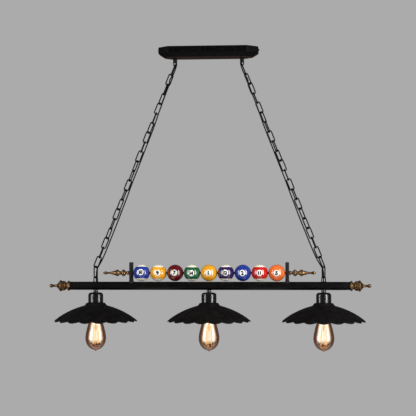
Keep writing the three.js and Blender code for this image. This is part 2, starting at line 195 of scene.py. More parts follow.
def sweep(path, radius, corners=12, closed=False):
    """A round bar along a path, with its ends capped or joined. The radius may be a list, one per point."""
    path = [Vector(point) for point in path]
    count = len(path)
    radii = radius if isinstance(radius, list) else [radius] * count
    levels = []
    side = None
    for i, point in enumerate(path):
        before = path[i - 1] if closed or i else path[0]
        after = path[(i + 1) % count] if closed or i < count - 1 else path[-1]
        along = (after - before).normalized()
        side = (side or along.orthogonal()).normalized()
        side = (side - along * side.dot(along)).normalized()
        up = along.cross(side)
        level = []
        for corner in range(corners):
            angle = 2 * math.pi * corner / corners
            level.append(point + radii[i] * (math.cos(angle) * side + math.sin(angle) * up))
        levels.append(level)
    return loft(levels, around=closed)


def joined(*shapes):
    points, faces = [], []
    for shape_points, shape_faces in shapes:
        start = len(points)
        points += list(shape_points)
        faces += [[start + corner for corner in face] for face in shape_faces]
    return points, faces


def moved(shape, *steps):
    """The shape after all the steps in turn: a Matrix turns it and a tuple shifts it."""
    points, faces = shape
    points = [Vector(point) for point in points]
    for step in steps:
        if isinstance(step, Matrix):
            points = [step @ point for point in points]
        else:
            points = [point + Vector(step) for point in points]
    return points, faces


def turn(degrees, axis):
    return Matrix.Rotation(math.radians(degrees), 3, axis)


def rounded(corners, radius, steps=4):
    """A flat polygon of (x, y) with each corner rounded."""
    outline = []
    count = len(corners)
    for i in range(count):
        corner = Vector(corners[i])
        before = (Vector(corners[i - 1]) - corner).normalized()
        after = (Vector(corners[(i + 1) % count]) - corner).normalized()
        half = before.angle(after) / 2
        back = radius / math.tan(half)
        middle = corner + (before + after).normalized() * radius / math.sin(half)
        start = corner + before * back - middle
        end = corner + after * back - middle
        outline += [middle + radius * start.slerp(end, step / steps) for step in range(steps + 1)]
    return outline


# Pieces


def add_object(name, data):
    made = bpy.data.objects.new(name, data)
    bpy.context.collection.objects.link(made)
    return made


def mesh_from(name, shape):
    """A shape in millimetres as a mesh in metres."""
    points, faces = shape
    mesh = bpy.data.meshes.new(name)
    mesh.from_pydata([Vector(point) * MM for point in points], [], faces)
    return mesh


def loose_piece(name, shape, material, sharp=35):
    """A piece that rides on nothing yet."""
    mesh = mesh_from(name, shape)
    tidy_mesh(mesh)
    mesh.materials.append(material)
    shade(mesh, sharp)
    return add_object(name, mesh)


def make(name, shape, material, body, nodes=None, sharp=35):
    """A piece from a shape, its material and the body it rides on.

    It stands for the CAD nodes given, or else for the one with its own name.
    """
    return settle(loose_piece(name, shape, material, sharp), body, nodes or [name])


def settle(piece, body, nodes):
    if body:
        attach(piece, body)
    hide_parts(*nodes)
    return piece


def tidy_mesh(mesh):
    """Joins points that fall together and turns every face outwards."""
    work = bmesh.new()
    work.from_mesh(mesh)
    bmesh.ops.remove_doubles(work, verts=work.verts, dist=1e-7)
    bmesh.ops.recalc_face_normals(work, faces=work.faces)
    work.to_mesh(mesh)
    work.free()


def shade(mesh, sharp):
    """Smooth, with a hard line at each edge sharper than that angle."""
    mesh.shade_smooth()
    mesh.set_sharp_from_angle(angle=math.radians(sharp))


# Materials


def node(tree, kind, settings=None, **inputs):
    """A shader node. An input is a value or another node's socket; a digit picks an input by number."""
    made = tree.nodes.new("ShaderNode" + kind)
    for name, value in (settings or {}).items():
        setattr(made, name, value)
    for name, value in inputs.items():
        key = int(name[1:]) if name[0] == "i" and name[1:].isdigit() else name.replace("_", " ")
        socket = made.inputs[key]
        if isinstance(value, bpy.types.NodeSocket):
            tree.links.new(value, socket)
        else:
            socket.default_value = value
    return made


def new_material(name):
    material = bpy.data.materials.new(name)
    material.use_nodes = True
    tree = material.node_tree
    tree.nodes.clear()
    return material, tree


def finish_material(tree, surface):
    node(tree, "OutputMaterial", Surface=surface)


def finish_principled(tree, colour, rough, normal=None, **more):
    """Ends a material in one Principled surface."""
    if normal:
        more["Normal"] = normal
    surface = node(tree, "BsdfPrincipled", Base_Color=colour, Roughness=rough, **more)
    finish_material(tree, surface.outputs[0])


def own_coordinates(tree):
    return node(tree, "TexCoord").outputs["Object"]


def noise(tree, scale, detail=3, roughness=0.5, vector=None):
    vector = vector or own_coordinates(tree)
    made = node(tree, "TexNoise", Vector=vector, Scale=scale, Detail=detail, Roughness=roughness)
    return made.outputs["Fac"]


def ramp(tree, factor, *stops):
    """Maps a factor to a colour or grey through (position, colour) stops."""
    made = node(tree, "ValToRGB", Fac=factor)
    elements = made.color_ramp.elements
    while len(elements) < len(stops):
        elements.new(1)
    for element, (position, colour) in zip(elements, stops):
        element.position = position
        element.color = (colour, colour, colour, 1) if isinstance(colour, (int, float)) else (*colour, 1)
    return made.outputs["Color"]


def mix(tree, factor, first, second):
    first, second = (
        value if isinstance(value, bpy.types.NodeSocket) else (*value, 1) for value in (first, second)
    )
    return node(tree, "Mix", {"data_type": "RGBA"}, i0=factor, i6=first, i7=second).outputs[2]


def bump(tree, height, strength, distance):
    made = node(tree, "Bump", Height=height, Strength=strength, Distance=distance * MM)
    return made.outputs["Normal"]


def math_node(tree, operation, *values):
    """The result of a maths node on numbers or sockets."""
    inputs = {f"i{number}": value for number, value in enumerate(values)}
    return node(tree, "Math", {"operation": operation}, **inputs).outputs[0]


def worn_edges(tree):
    """1 on outer edges, 0 elsewhere, broken up by noise."""
    pointiness = node(tree, "NewGeometry").outputs["Pointiness"]
    edge = ramp(tree, pointiness, (0.52, 0), (0.62, 1))
    patches = ramp(tree, noise(tree, 160, 4), (0.45, 0), (0.62, 1))
    return math_node(tree, "MULTIPLY", edge, patches)


def painted(name, dark, light, roughness, grain, shine, painted_warm_light=None):
    """Painted metal: faint mottling, an orange-peel or powder grain, and slightly worn edges.

    Faces that look straight down may take a warm colour of their own: painted light, the lamps' warm glow
    bouncing up onto them.
    """
    material, tree = new_material(name)
    mottle = ramp(tree, noise(tree, 45, 5), (0.35, dark), (0.68, light))
    # painted light: faces that look straight down are tinted towards the warm colour of the lamps' glow
    if painted_warm_light:
        facing = node(tree, "NewGeometry").outputs["Normal"]
        upward = node(tree, "SeparateXYZ", Vector=facing).outputs[2]
        downward = math_node(tree, "MULTIPLY", upward, -1.0)
        mottle = mix(tree, ramp(tree, downward, (0.9, 0), (0.97, 1)), mottle, painted_warm_light)
    worn = tuple(value * 2.2 + 0.004 for value in light)
    colour = mix(tree, worn_edges(tree), mottle, worn)
    rough = ramp(tree, noise(tree, 120, 3), (0.3, roughness - 0.05), (0.7, roughness + 0.07))
    normal = bump(tree, noise(tree, 1500, 2), grain, 0.25)
    finish_principled(tree, colour, rough, normal, Specular_IOR_Level=shine)
    return material


def aged_brass():
    """Cast brass with bright worn edges and dark wax left in its hollows."""
    material, tree = new_material("aged_brass")
    pointiness = node(tree, "NewGeometry").outputs["Pointiness"]
    hollow = ramp(tree, pointiness, (0.44, 1), (0.5, 0))
    edge = ramp(tree, pointiness, (0.52, 0), (0.6, 1))
    base = ramp(tree, noise(tree, 90, 5), (0.3, (0.1, 0.05, 0.02)), (0.7, (0.24, 0.135, 0.06)))
    bright = mix(tree, edge, base, (0.66, 0.48, 0.28))
    colour = mix(tree, hollow, bright, (0.012, 0.006, 0.003))
    rough = ramp(tree, noise(tree, 260, 4), (0.3, 0.26), (0.7, 0.45))
    normal = bump(tree, noise(tree, 700, 3), 0.25, 0.3)
    finish_principled(tree, colour, rough, normal, Metallic=0.9)
    return material


def grained(name, mottle, gloss, grain, **more):
    """A mottled colour, uneven gloss and a fine grain.

    Mottle and gloss are (noise scale, noise detail, lowest stop, highest stop), and the grain is
    (noise scale, strength, depth in millimetres).
    """
    material, tree = new_material(name)
    colour, rough = (ramp(tree, noise(tree, *facts[:2]), *facts[2:]) for facts in (mottle, gloss))
    scale, strength, depth = grain
    normal = bump(tree, noise(tree, scale, 2), strength, depth)
    finish_principled(tree, colour, rough, normal, **more)
    return material


def zinc_steel():
    """Plated sheet steel with brushed streaks along the strap."""
    material, tree = new_material("zinc_steel")
    streaks = node(tree, "Mapping", Vector=own_coordinates(tree), Scale=(8, 900, 900))
    brushed = noise(tree, 1, 4, vector=streaks.outputs[0])
    colour = ramp(tree, brushed, (0.3, (0.36, 0.37, 0.38)), (0.7, (0.62, 0.62, 0.6)))
    rough = ramp(tree, noise(tree, 60, 4), (0.3, 0.28), (0.7, 0.48))
    normal = bump(tree, brushed, 0.2, 0.1)
    finish_principled(tree, colour, rough, normal, Metallic=0.95)
    return material


def moulded(name, dark, light, roughness):
    """Moulded plastic with faint flow marks and a fine texture."""
    mottle = (24, 3, (0.3, dark), (0.7, light))
    gloss = (90, 3, (0.3, roughness - 0.06), (0.7, roughness + 0.06))
    return grained(name, mottle, gloss, grain=(1300, 0.25, 0.15))


def resin(name, colour, gloss=1.0):
    """Polished ball resin: a clear coat, a little hazed, over a colour with faint depth."""
    material, tree = new_material(name)
    deep = tuple(value * 0.78 for value in colour)
    base = ramp(tree, noise(tree, 60, 4), (0.35, deep), (0.65, colour))
    scuffs = ramp(tree, noise(tree, 420, 6, 0.7), (0.45, 0.2), (0.8, 0.34))
    finish_principled(
        tree, base, scuffs, Coat_Weight=gloss, Coat_Roughness=0.13, Specular_IOR_Level=0.3, IOR=1.56,
        Subsurface_Weight=0.06, Subsurface_Radius=(0.004, 0.003, 0.002),
    )
    return material


def amber_glass():
    """Clear amber glass, tinted more deeply towards its edges, where it looks thick."""
    material, tree = new_material("amber_glass")
    facing = node(tree, "LayerWeight", Blend=0.5).outputs["Facing"]
    depth = math_node(tree, "MULTIPLY_ADD", noise(tree, 60, 4), 0.16, facing)
    tint = ramp(
        tree, depth, (0.2, (1.0, 0.96, 0.88)), (0.36, (0.6, 0.43, 0.32)), (0.62, (0.42, 0.28, 0.2)),
        (0.85, (0.3, 0.19, 0.13)),
    )
    clear = node(tree, "BsdfTransparent", Color=tint)
    glow_share = ramp(tree, depth, (0.22, 0.0), (0.4, 0.5), (0.9, 0.6))
    rim_glow = node(tree, "Emission", Color=(0.16, 0.082, 0.052, 1), Strength=1.0)
    body = node(tree, "MixShader", i0=glow_share, i1=clear.outputs[0], i2=rim_glow.outputs[0])
    gloss = node(tree, "BsdfGlossy", Color=(1, 0.95, 0.9, 1), Roughness=0.05)
    shine = node(tree, "Fresnel", IOR=1.45)
    outside = node(tree, "MixShader", i0=shine.outputs[0], i1=body.outputs[0], i2=gloss.outputs[0])
    finish_material(tree, outside.outputs[0])
    return material


def inner_glow(name, x):
    """The bulb's lit far wall: white hot in the middle with soft upright streaks, brown at its tip."""
    tip_low, tip_high = -0.937, -0.926  # the brown fades out between these heights, in metres
    material, tree = new_material(name)
    along, depthwise, height = node(tree, "SeparateXYZ", Vector=own_coordinates(tree)).outputs
    angle = math_node(tree, "ARCTAN2", depthwise, math_node(tree, "SUBTRACT", along, x * MM))
    spread = node(tree, "CombineXYZ", X=angle, Y=height)
    stretched = node(tree, "Mapping", Vector=spread.outputs[0], Scale=(4.5, 14, 1))
    streaks = noise(tree, 1.7, 4, 0.6, vector=stretched.outputs[0])
    facing = node(tree, "LayerWeight", Blend=0.5).outputs["Facing"]
    depth = math_node(tree, "MULTIPLY_ADD", streaks, 0.14, facing)
    hot = ramp(
        tree, streaks, (0.36, (0.92, 0.6, 0.26)), (0.43, (1.0, 0.88, 0.66)), (0.5, (1.0, 0.98, 0.97)),
        (0.62, (1.0, 1.0, 1.0)),
    )
    lit = mix(tree, ramp(tree, depth, (0.26, 0), (0.37, 1)), hot, (0.72, 0.5, 0.34))
    patches = ramp(
        tree, noise(tree, 130, 3), (0.42, (0.03, 0.01, 0.003)), (0.52, (0.16, 0.06, 0.022)),
        (0.62, (0.7, 0.4, 0.19)),
    )
    ragged_height = math_node(tree, "MULTIPLY_ADD", streaks, -0.014, height)
    above_tip = node(tree, "MapRange", i0=ragged_height, i1=tip_low, i2=tip_high)
    tip = ramp(tree, above_tip.outputs[0], (0.0, 1), (1.0, 0))
    colour = mix(tree, tip, lit, patches)
    light = node(tree, "Emission", Color=colour, Strength=1.25)
    clear = node(tree, "BsdfTransparent")
    faded = ramp(tree, depth, (0.32, 0), (0.44, 1))
    far_side = node(tree, "MixShader", i0=faded, i1=light.outputs[0], i2=clear.outputs[0])
    near_side = node(tree, "NewGeometry").outputs["Backfacing"]
    surface = node(tree, "MixShader", i0=near_side, i1=far_side.outputs[0], i2=clear.outputs[0])
    finish_material(tree, surface.outputs[0])
    return material


def hot_filament():
    """Glowing carbon filament that varies a little along its length."""
    material, tree = new_material("hot_filament")
    heat = ramp(tree, noise(tree, 110, 2), (0.3, (0.8, 0.36, 0.09)), (0.65, (1.0, 0.66, 0.26)))
    surface = node(tree, "Emission", Color=heat, Strength=1.1)
    finish_material(tree, surface.outputs[0])
    return material


POOL_COLOURS = {
    "ball_blue": (0.012, 0.035, 0.26),
    "ball_yellow": (0.82, 0.36, 0.012),
    "ball_maroon": (0.1, 0.002, 0.005),
    "ball_green": (0.004, 0.1, 0.035),
    "ball_purple": (0.022, 0.006, 0.075),
    "ball_red": (0.5, 0.008, 0.006),
    "ball_orange": (0.8, 0.15, 0.025),
}
powder_black = painted(
    "powder_black", (0.0012, 0.0012, 0.0014), (0.003, 0.0028, 0.0029), roughness=0.4, grain=0.12, shine=0.15
)
# The last colour is painted light: the lamps' warm glow on the canopy's downward faces.
canopy_black = painted(
    "canopy_black", (0.0004, 0.0004, 0.0004), (0.0011, 0.001, 0.001), roughness=0.45, grain=0.12, shine=0.1,
    painted_warm_light=(0.028, 0.013, 0.009),
)
shade_paint = painted(
    "shade_paint", (0.0024, 0.0021, 0.0021), (0.0052, 0.0045, 0.0045), roughness=0.5, grain=0.1, shine=0.1
)
# The posts' black paint made lighter than the tube's: painted light, for the light their flat front faces
# catch.
post_black_painted_light = painted(
    "post_black_painted_light", (0.006, 0.0058, 0.0062), (0.011, 0.0105, 0.011), roughness=0.45, grain=0.3, shine=0.3
)
cup_gloss = painted(
    "cup_gloss", (0.0016, 0.0016, 0.0022), (0.0034, 0.0034, 0.0042), roughness=0.25, grain=0.01, shine=0.8
)
dark_nickel = grained(
    "dark_nickel",
    mottle=(180, 4, (0.3, (0.05, 0.05, 0.055)), (0.7, (0.11, 0.11, 0.12))),
    gloss=(300, 3, (0.3, 0.22), (0.7, 0.36)),
    grain=(1200, 0.12, 0.1),
    Metallic=0.9,
)
brass = aged_brass()
zinc = zinc_steel()
jacket = grained(
    "cord_jacket",
    mottle=(70, 5, (0.4, (0.0016, 0.0015, 0.0017)), (0.8, (0.005, 0.0047, 0.005))),
    gloss=(200, 3, (0.3, 0.5), (0.7, 0.68)),
    grain=(1800, 0.3, 0.2),
    Specular_IOR_Level=0.15,
)
white_plastic = moulded("white_plastic", (0.62, 0.58, 0.5), (0.74, 0.71, 0.64), 0.5)
black_plastic = moulded("black_plastic", (0.012, 0.012, 0.012), (0.022, 0.021, 0.02), 0.45)
filament_glow = hot_filament()
glass = amber_glass()
cap_brass = grained(
    "brass_shell",
    mottle=(140, 4, (0.3, (0.4, 0.27, 0.1)), (0.7, (0.66, 0.48, 0.2))),
    gloss=(300, 3, (0.3, 0.2), (0.7, 0.36)),
    grain=(900, 0.15, 0.1),
    Metallic=0.95,
)
resins = {slot: resin(slot, colour) for slot, colour in POOL_COLOURS.items()}
cream = resin("ball_cream", (0.86, 0.8, 0.66), 0.6)
disc_white = resin("ball_disc", (0.84, 0.82, 0.75), 0.1)
ink = resin("ball_ink", (0.004, 0.004, 0.004), 0.02)


# Canopy


def octagon(inset, height):
    """The canopy's outline, drawn in by the inset, at that height."""
    cut_off = 33  # how much of each corner is missing
    x = CANOPY_HIGH.x - inset
    y = CANOPY_HIGH.y - inset
    cut = cut_off - inset * (2 - math.sqrt(2))
    corners = [
        (x, y - cut), (x - cut, y), (cut - x, y), (-x, y - cut),
        (-x, cut - y), (cut - x, -y), (x - cut, -y), (x, cut - y),
    ]
    return [(point.x, point.y, height) for point in rounded(corners, 2.2)]


def canopy():
    """A pan with a rolled rim, a step above its sloped facets and a flat lower face."""
    bottom = CANOPY_LOW.z
    foot = 19.5  # how far the flat lower face is drawn in
    inside = [(foot + 1, bottom + 1.2), (4.2, -21), (1.5, -18.5), (1.3, -1)]
    outside = [
        (1.3, -0.5), (0.9, 0), (0.3, -0.1), (0, -0.6), (0, -18.6), (0.25, -19.3), (0.9, -19.9),
        (2.1, -20.4), (2.5, -20.8), (3.2, -21.6), (foot - 1.6, bottom + 0.7), (foot - 0.7, bottom + 0.15),
        (foot + 0.6, bottom),
    ]
    shape = loft([octagon(inset, height) for inset, height in inside + outside])
    make("canopy", shape, canopy_black, "canopy", ["canopy_shell"], sharp=28)


def canopy_loop(word, side):
    """A stem, a collar and a U of round bar, all in one casting."""
    radius, wire_way = 6.5, 2.6
    top, mouth, bow_top, bow_bottom = -32.2, -46.8, -45, -56.25
    collar = revolve([
        (0, top), (radius - 0.5, top), (radius, top - 0.5), (radius, mouth + 1.6),
        (radius - 0.2, mouth + 0.6), (radius - 0.7, mouth), (radius - 1.2, mouth), (4.6, mouth + 1),
        (wire_way, mouth + 4.3), (wire_way, top - 0.8), (0, top - 0.8),
    ], 40)
    half = radius - LOOP_BAR_R
    bend = [(x, 0, z) for x, z in arc(half, (0, bow_bottom + half), 180, 360, 16)]
    left, right = ([(x, 0, bow_top), (x, 0, bow_top - 3)] for x in (-half, half))
    bow = sweep([*left, *bend, *reversed(right)], LOOP_BAR_R, 16)
    stem = revolve([(0, -20), (3.6, -20), (4, -20.5), (4, top), (0, top)], 24)
    shape = moved(joined(collar, bow, stem), (side * LOOP_X, 0, 0))
    make(f"canopy_loop_{word}", shape, powder_black, "canopy")


def canopy_screw(word, side):
    """A round-headed screw through the canopy's end wall, with a straight slot in its head."""
    name = f"canopy_screw_{word}"
    low, high = box_mm(name)
    inner_end, outer_end = (low.x, high.x) if side > 0 else (high.x, low.x)
    z = centre_mm(name).z
    outline = [(0, 0), (2, 0), (2, 9.2), (3.8, 9.2), (4, 9.5), (3.9, 10.6), (3.2, 11.4), (1.6, 11.9), (0, 12)]
    screw = moved(revolve(outline, 32), turn(side * 90, "Y"), (inner_end, 0, z))
    piece = loose_piece(name, screw, powder_black)
    cut_slot(piece, (outer_end, 0, z), (2.2, 9, 1.1))
    settle(piece, "canopy", [name])


def cut_slot(piece, middle, size):
    """Cuts a box out of a piece."""
    x, y, z = [value / 2 for value in size]
    corners = [(-x, -y), (x, -y), (x, y), (-x, y)]
    levels = [[(*corner, height) for corner in corners] for height in (-z, z)]
    mesh = mesh_from("tool", moved(loft(levels), middle))
    tidy_mesh(mesh)
    tool = add_object("tool", mesh)
    modifier = piece.modifiers.new("slot", "BOOLEAN")
    modifier.operation = "DIFFERENCE"
    modifier.object = tool
    depsgraph = bpy.context.evaluated_depsgraph_get()
    result = bpy.data.meshes.new_from_object(piece.evaluated_get(depsgraph))
    piece.modifiers.clear()
    piece.data = result
    bpy.data.objects.remove(tool)
    shade(result, 35)


def dress_hidden_canopy_parts():
    """Gives the three CAD nodes that stay their finishes."""
    finishes = {"mounting_bracket": zinc, "terminal_block": white_plastic, "canopy_wiring": jacket}
    for name, material in finishes.items():
        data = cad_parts[name].data
        data.materials.clear()
        data.materials.append(material)


# Chains


def link(opening, number=0):
    """A link with its inner top at the origin, hanging down Z, its opening facing Y, a weld on one side."""
    bend, weld_swell, weld_reach = 5.4, 0.16, 1.6
    half = LINK_WIDTH / 2 - WIRE
    corners = [(half, WIRE), (-half, WIRE), (-half, -opening - WIRE), (half, -opening - WIRE)]
    path = with_middles(rounded(corners, bend, 6))
    weld = Vector((half if number % 2 else -half, -opening / 2))
    radii = [
        WIRE * (1 + weld_swell * math.exp(-((point - weld).length / weld_reach) ** 2)) for point in path
    ]
    return sweep([(point.x, 0, point.y) for point in path], radii, 12, closed=True)


def with_middles(path):
    """Adds points along the long sides of a closed outline."""
    spacing = 3
    fine = []
    for a, b in zip(path, path[1:] + path[:1]):
        pieces = max(1, round((b - a).length / spacing))
        fine += [a.lerp(b, i / pieces) for i in range(pieces)]
    return fine


def near_chain(side, down, inwards, back):
    """A point beside the sloping chain: how far down it, to its inner side and behind it."""
    x = LOOP_X + down * CHAIN_SINE - inwards * CHAIN_COSINE
    return (side * x, back, CHAIN_TOP - down * CHAIN_COSINE - inwards * CHAIN_SINE)


def chain(word, side):
    """The sloping links, of which the first rides on a body of its own, and the upright bottom link."""
    slope = math.degrees(math.asin(CHAIN_SINE))
    for number, twist in enumerate(TWISTS[word]):
        place = near_chain(side, number * PITCH, 0, 0)
        opening = PITCH + PIVOT_GAP if (word, number) == ("right", LINKS - 1) else PITCH
        shape = moved(link(opening, number), turn(-side * twist, "Z"), turn(-side * slope, "Y"), place)
        body = f"{word}_chain" if number else "top_links"
        cad_node = f"chain_{word}" if number else f"chain_top_link_{word}"
        make(f"chain_{word}_link_{number:02d}", shape, powder_black, body, [cad_node])
    opening = CHAIN_BOTTOM - (BAR_LOOP_TOP - LOOP_BAR_R)
    shape = moved(link(opening), turn(-side * BOTTOM_TWIST, "Z"), (side * LAMP_X, 0, CHAIN_BOTTOM))
    nodes = [f"chain_bottom_link_{word}"]
    make(f"chain_{word}_bottom_link", shape, powder_black, "bottom_links", nodes)


# Power cords: through the loop, through the top links, then down the chain's inner side


def upper_cord(side):
    """From inside the canopy loop to halfway down the top link."""
    drop = [(0, 0, -24), (0, 0, -38), (0.4, 0.7, -42), (1.2, 2, -45), (2.6, 3.7, -48.4), (4.1, 4.1, -52)]
    points = [(side * (LOOP_X - inwards), back, z) for inwards, back, z in drop]
    return points + [near_chain(side, *values) for values in ((8, 4.5, 3.6), (20, 5, 3.2))]


def long_cord(side):
    """From halfway down the top link to the bottom link."""
    beside = [
        (20, 5, 3.2), (28, 4.4, 4.2), (34, 3.6, 4.3), (48, 0.8, 4.3), (64, 4.1, 4.4), (80, 4.2, 5.2),
        (98, 4.6, 5.8), (115, 4.8, 5.9), (130, 5.2, 6), (150, 5.6, 6.2), (170, 6.6, 7), (200, 8, 7.2),
        (240, 8.6, 6.6), (290, 8.8, 6.4), (340, 9.2, 6), (390, 9.4, 5.8), (430, 10.6, 4.4), (470, 11.4, 3),
        (520, 12.2, 1.6), (570, 12.2, 1), (610, 12, 1.6), (640, 11.2, 3.4), (660, 9.4, 6.4), (674, 7, 9.4),
    ]
    return [near_chain(side, *values) for values in beside] + [(side * (LAMP_X - 2), CORD_BACK, -696)]


def lower_cord(side):
    """Past the bottom link, down behind the loop and into the tube."""
    drop = [
        (2, CORD_BACK, -696), (0.6, CORD_BACK, -706), (0, CORD_BACK, -719), (0, CORD_BACK, -728),
        (0, 11.4, -734), (0, 9.4, -738.6), (0, 5, -743),
    ]
    return [(side * (LAMP_X - inwards), back, z) for inwards, back, z in drop]


def cord_pieces(word, side):
    """A cord in three pieces, each swept along its stretch of the route."""
    cord = f"power_cord_{word}"
    run_bend = near_chain(side, 24, 0, 0), near_chain(side, 44, 0, 0)
    pieces = (
        ("top", upper_cord(side), "canopy", "top_links", (0, 0, -45), (0, 0, -66)),
        ("run", long_cord(side), "top_links", f"{word}_chain", *run_bend),
        ("foot", lower_cord(side), "bottom_links", "bar", (0, 0, -708), (0, 0, -730)),
    )
    for part, route, upper, lower, start, end in pieces:
        shape = sweep(through(route, 6), CORD_R, 16)
        piece = make(f"{cord}_{part}", shape, jacket, None, [cord])
        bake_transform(piece)


# Bar


def main_tube():
    """A long tube with turned grooves and a beaded ring at each end."""
    wall, groove = 1.4, 0.8
    half = [(TUBE_R - wall, TUBE_HALF), (TUBE_R - 0.5, TUBE_HALF), (TUBE_R, TUBE_HALF - 0.5)]
    for start in (3.4, 9.4):
        for depth, along in ((0, 0), (groove, 0.4), (groove, 1.6), (0, 2)):
            half.append((TUBE_R - depth, TUBE_HALF - start - along))
    middle = [(TUBE_R, x) for x in range(400, -401, -40)]  # keeps the long faces from being slivers
    other = [(radius, -x) for radius, x in reversed(half)]
    shape = moved(revolve(half + middle + other, 72, ring=True), turn(90, "Y"), (0, 0, TUBE_Z))
    make("main_tube", shape, powder_black, "bar", sharp=30)


def fluted(count, depth, low, high):
    """Narrows the radius between heights in lengthwise flutes that fade out at both ends."""
    fade_power, flute_power = 0.5, 0.6

    def warp(radius, height, angle):
        if not low < height < high:
            return radius
        fade = math.sin(math.pi * (height - low) / (high - low)) ** fade_power
        return radius - depth * fade * (0.5 + 0.5 * math.cos(count * angle)) ** flute_power

    return warp


def end_finial(word, side):
    """A turned and fluted urn with a flange, a neck and a ball."""
    stub = TUBE_R - 1.7
    foot = [(0, -12), (stub - 0.4, -12), (stub, -11.6), (stub, 0.3)]
    rest = [
        (14.2, 0.3), (15.4, 2), (15.4, 5.4), (14, 7.4), (10.6, 8.8), (9.8, 10.8), (10.4, 12.4), (12.8, 13.8),
        (14.9, 18), (15.6, 23), (15.6, 26.6), (16.6, 27.6), (18, 28.8), (18, 30.8), (16.6, 31.6),
        (14, 33.6), (10.6, 36.2), (7, 39.4), (4.6, 42.4), (3.8, 46), (3.6, 51), (3.9, 53.2),
    ]
    ball_r, ball_middle = 6, 59.5
    tip = arc(ball_r, (0, ball_middle), -30, 80, 11)
    outline = foot + turned_curve(rest + tip + [(0, ball_middle + ball_r)], 3)
    warp = fluted(16, 1.1, 12.6, 27)
    shape = moved(revolve(outline, 128, warp), turn(side * 90, "Y"), (side * TUBE_HALF, 0, TUBE_Z))
    make(f"end_finial_{word}", shape, brass, "bar", sharp=40)


def bar_loop(word, side):
    """An inverted U of round bar let into the tube."""
    width, sunk = 15, 4
    half = width / 2 - LOOP_BAR_R
    foot = TUBE_Z + TUBE_R - sunk
    shoulder = BAR_LOOP_TOP - half
    bend = [(x, 0, z) for x, z in arc(half, (0, shoulder), 180, 0, 16)]
    path = [(-half, 0, foot), (-half, 0, shoulder - 4), *bend, (half, 0, shoulder - 4), (half, 0, foot)]
    collar = revolve([(0, 0), (2.6, 0), (2.7, 1.2), (2.2, 1.9), (0, 1.9)], 24)
    collars = [moved(collar, (x, 0, TUBE_Z + TUBE_R - 0.5)) for x in (-half, half)]
    shape = moved(joined(sweep(path, LOOP_BAR_R, 16), *collars), (side * LAMP_X, 0, 0))
    make(f"bar_loop_{word}", shape, powder_black, "bar")


def wire_harness():
    """The wires inside the tube: one run, and a drop into each lamp."""
    radius = 1.8
    z = TUBE_Z + 2
    run = sweep([(x, 0, z) for x in (-LAMP_X, -120, 0, 120, LAMP_X)], radius, 10)
    drops = [
        sweep([(x, 0, z), (x, 0, z - 15), (x, 0, z - 30)], radius, 10) for x in (-LAMP_X, 0, LAMP_X)
    ]
    make("wire_harness", joined(run, *drops), jacket, "bar")


# Rack of balls


def rack_post(word, side):
    """A rectangular post with a foot that sits on the tube's curve and a chamfered top."""
    top = box_mm(f"rack_post_{word}")[1].z
    foot = TUBE_Z + TUBE_R + 3

    def section(outset, height=None):
        x, y = POST_HALF + outset, POST_DEPTH / 2 + outset
        corners = rounded([(x, y), (-x, y), (-x, -y), (x, -y)], 0.8, 3)
        if height is not None:
            return [(x, y, height) for x, y in corners]
        return [(x, y, TUBE_Z + math.sqrt((TUBE_R - 0.4) ** 2 - y**2)) for x, y in corners]

    levels = [
        section(1), section(1, foot - 0.5), section(0.6, foot), section(0, foot + 1.6),
        section(0, top - 1), section(-0.3, top - 0.3), section(-1, top),
    ]
    shape = moved(loft(levels), (side * POST_X, 0, 0))
    make(f"rack_post_{word}", shape, post_black_painted_light, "bar", sharp=28)


def ball_rod():
    """A round rod with a small chamfer at each end."""
    end = box_mm("ball_rod")[1].x
    chamfer = 0.3
    outline = [(0, -end), (ROD_R - chamfer, -end), (ROD_R, chamfer - end)]
    outline += [(ROD_R, x) for x in range(-240, 241, 40)]
    outline += [(ROD_R, end - chamfer), (ROD_R - chamfer, end), (0, end)]
    shape = moved(revolve(outline, 28), turn(90, "Y"), (0, 0, ROD_Z))
    make("ball_rod", shape, powder_black, "bar")


def rack_finial(word, side):
    """A turned spear with a fluted urn."""
    start = side * (POST_X + POST_HALF)
    hole = [(0, 8), (3.3, 8), (3.3, 0.3)]  # the rod's end sits in it
    rest = [
        (6, 0.3), (6.2, 2.4), (6, 5), (4.7, 7.4), (4.5, 10), (5, 12), (8, 13.4), (10.4, 16), (11, 18.4),
        (10.4, 21), (8, 23.6), (5.8, 25), (5.2, 27.6), (5.6, 30.4), (8, 33.4), (10, 36.6), (10.6, 38.4),
        (10.4, 40.4), (8.4, 42.6), (6.8, 47), (5, 54), (3.4, 61), (2.6, 67.4), (3.6, 70.6), (4.8, 73.4),
        (5, 75.6), (4.4, 78), (3, 81), (1.2, 83.4), (0, 84),
    ]
    outline = hole + turned_curve(rest, 3)
    warp = fluted(12, 0.8, 13, 24)
    shape = moved(revolve(outline, 96, warp), turn(side * 90, "Y"), (start, 0, ROD_Z))
    make(f"rack_finial_{word}", shape, brass, "bar", sharp=40)


# Each ball: its number, its finish, whether it is striped, how far its disc is turned up from the
# front, and how far the number is turned in its disc, in degrees.
BALLS = [
    (10, "ball_blue", True, 7, 3),
    (9, "ball_yellow", True, 2, 4),
    (7, "ball_maroon", False, 3, 0),
    (14, "ball_green", True, 0, -4),
    (1, "ball_yellow", False, 2, 3),
    (12, "ball_purple", True, 3, -3),
    (2, "ball_blue", False, 1, 2),
    (11, "ball_red", True, 2, 5),
    (5, "ball_orange", False, 0, -3),
]
BAND = 0.7  # half height of a stripe, as a share of the radius
DISC_R = 9.8
DISC_LIFT = 0.06
NUMBER_LIFT = 0.11
BORE_R = 3.4  # the rod's way through each ball


def on_ball(u, v, lift):
    """A point on the ball's front, from flat coordinates: u to the right and v up, in arc length."""
    r = BALL_R + lift
    reach = math.hypot(u, v)
    if reach < 1e-9:
        return Vector((0, -r, 0))
    angle = reach / BALL_R
    return Vector((r * math.sin(angle) * u / reach, -r * math.cos(angle), r * math.sin(angle) * v / reach))


